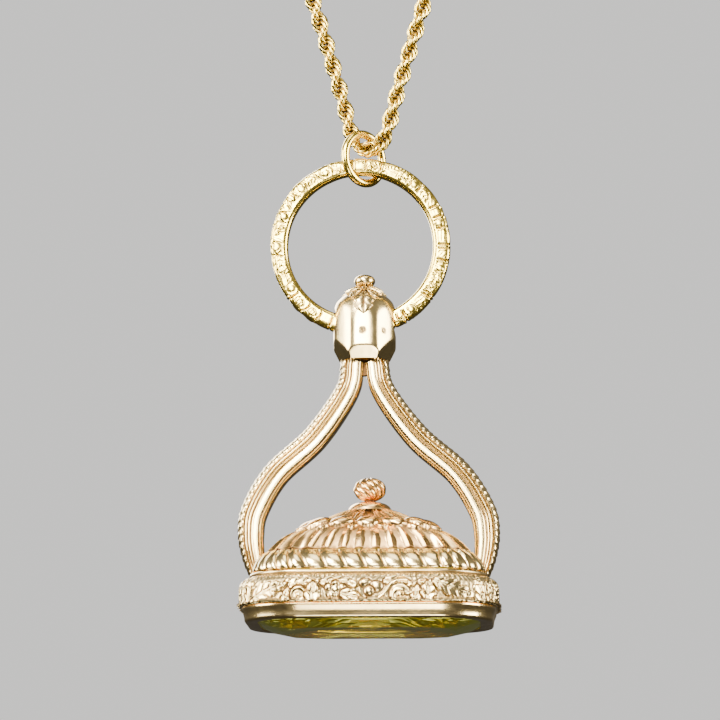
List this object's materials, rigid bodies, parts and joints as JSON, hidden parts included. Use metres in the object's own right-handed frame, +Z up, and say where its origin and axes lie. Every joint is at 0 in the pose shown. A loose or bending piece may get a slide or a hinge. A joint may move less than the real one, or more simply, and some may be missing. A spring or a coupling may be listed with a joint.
{
  "type": "citrine fob necklace",
  "caption": "Gold rope chain necklace with a hanging ring and an antique fob: a swivelling knuckle, a two-armed yoke and an ornate domed base set with a faceted citrine.",
  "frame": {"origin": "the nape of the neck, on the underside of the clasp", "axes": "+Z up, +X to the right as seen from the front, -Y the front of the necklace"},
  "size_m": [0.1104, 0.0208, 0.3178],
  "materials": {
    "yellow_gold": "polished yellow gold",
    "pale_gold": "polished pale gold, darker in the hollows",
    "rose_gold": "polished rose gold, darker in the hollows",
    "citrine": "clear faceted stone"
  },
  "bodies": {
    "necklace": {"rope_chain": "yellow_gold", "clasp": "yellow_gold", "jump_ring": "yellow_gold"},
    "ring": {"split_ring": "yellow_gold"},
    "fob": {"knuckle": "pale_gold", "yoke": "pale_gold", "dome": "rose_gold", "finial": "rose_gold", "gallery": "pale_gold", "bezel": "pale_gold", "citrine": "citrine"}
  },
  "joints": [
    {"name": "ring_swing", "type": "hinge", "parent": "necklace", "child": "ring", "pos_m": [-0.001, 0, -0.26395], "axis": [1, 0, 0], "range_deg": [-45, 45]},
    {"name": "fob_swing", "type": "hinge", "parent": "ring", "child": "fob", "pos_m": [-0.00055, 0, -0.2811], "axis": [1, 0, 0], "range_deg": [-80, 80]}
  ]
}
